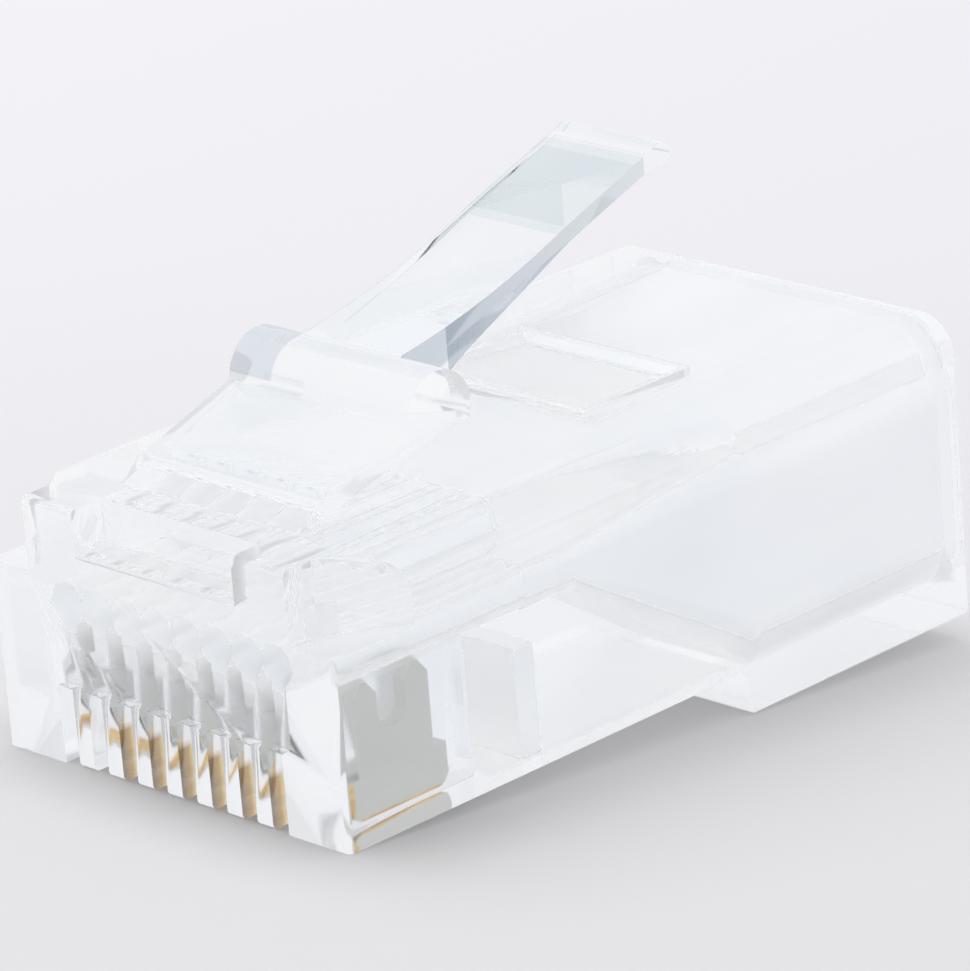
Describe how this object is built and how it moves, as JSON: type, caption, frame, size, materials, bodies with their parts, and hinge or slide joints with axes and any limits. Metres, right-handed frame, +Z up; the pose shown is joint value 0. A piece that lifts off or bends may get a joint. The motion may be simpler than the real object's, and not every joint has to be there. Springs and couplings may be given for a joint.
{
  "type": "modular plug",
  "caption": "Clear plastic modular plug for data cable, with a row of gold-plated contact blades, a sprung latch lever and a cable entry with a strain relief bar.",
  "frame": {"origin": "under the middle of the plug, on the level of the cable end's underside", "axes": "+X across the plug, +Y from the nose to the cable entry, +Z up through the latch"},
  "size_m": [0.0116, 0.0214, 0.0131],
  "materials": {
    "clear_housing": "clear injection-moulded polycarbonate, polished mould faces",
    "clear_latch": "clear injection-moulded polycarbonate, moulded with the housing",
    "clear_bar": "clear injection-moulded polycarbonate, moulded with the housing",
    "gold_contacts": "stamped phosphor bronze, gold plated on the contact edge"
  },
  "bodies": {
    "plug": {"housing": "clear_housing"},
    "latch_lever": {"latch": "clear_latch"},
    "cable_clamp": {"strain_relief_bar": "clear_bar"},
    "blade_1": {"contact_1": "gold_contacts"},
    "blade_2": {"contact_2": "gold_contacts"},
    "blade_3": {"contact_3": "gold_contacts"},
    "blade_4": {"contact_4": "gold_contacts"},
    "blade_5": {"contact_5": "gold_contacts"},
    "blade_6": {"contact_6": "gold_contacts"},
    "blade_7": {"contact_7": "gold_contacts"},
    "blade_8": {"contact_8": "gold_contacts"}
  },
  "joints": [
    {"name": "latch_press", "type": "hinge", "parent": "plug", "child": "latch_lever", "pos_m": [0, -0.00773, 0.00815], "axis": [1, 0, 0], "range_deg": [-12.5, 0], "stiffness_Nm_per_rad": 0.05},
    {"name": "strain_relief_crimp", "type": "hinge", "parent": "plug", "child": "cable_clamp", "pos_m": [0, 0.00102, 0.0075], "axis": [1, 0, 0], "range_deg": [-30, 0]},
    {"name": "contact_1_crimp", "type": "slide", "parent": "plug", "child": "blade_1", "axis": [0, 0, 1], "range_m": [0, 0.00055]},
    {"name": "contact_2_crimp", "type": "slide", "parent": "plug", "child": "blade_2", "axis": [0, 0, 1], "range_m": [0, 0.00055]},
    {"name": "contact_3_crimp", "type": "slide", "parent": "plug", "child": "blade_3", "axis": [0, 0, 1], "range_m": [0, 0.00055]},
    {"name": "contact_4_crimp", "type": "slide", "parent": "plug", "child": "blade_4", "axis": [0, 0, 1], "range_m": [0, 0.00055]},
    {"name": "contact_5_crimp", "type": "slide", "parent": "plug", "child": "blade_5", "axis": [0, 0, 1], "range_m": [0, 0.00055]},
    {"name": "contact_6_crimp", "type": "slide", "parent": "plug", "child": "blade_6", "axis": [0, 0, 1], "range_m": [0, 0.00055]},
    {"name": "contact_7_crimp", "type": "slide", "parent": "plug", "child": "blade_7", "axis": [0, 0, 1], "range_m": [0, 0.00055]},
    {"name": "contact_8_crimp", "type": "slide", "parent": "plug", "child": "blade_8", "axis": [0, 0, 1], "range_m": [0, 0.00055]}
  ],
  "couplings": [
    {"joint": "contact_2_crimp", "follows": "contact_1_crimp", "ratio": 1},
    {"joint": "contact_3_crimp", "follows": "contact_1_crimp", "ratio": 1},
    {"joint": "contact_4_crimp", "follows": "contact_1_crimp", "ratio": 1},
    {"joint": "contact_5_crimp", "follows": "contact_1_crimp", "ratio": 1},
    {"joint": "contact_6_crimp", "follows": "contact_1_crimp", "ratio": 1},
    {"joint": "contact_7_crimp", "follows": "contact_1_crimp", "ratio": 1},
    {"joint": "contact_8_crimp", "follows": "contact_1_crimp", "ratio": 1}
  ]
}
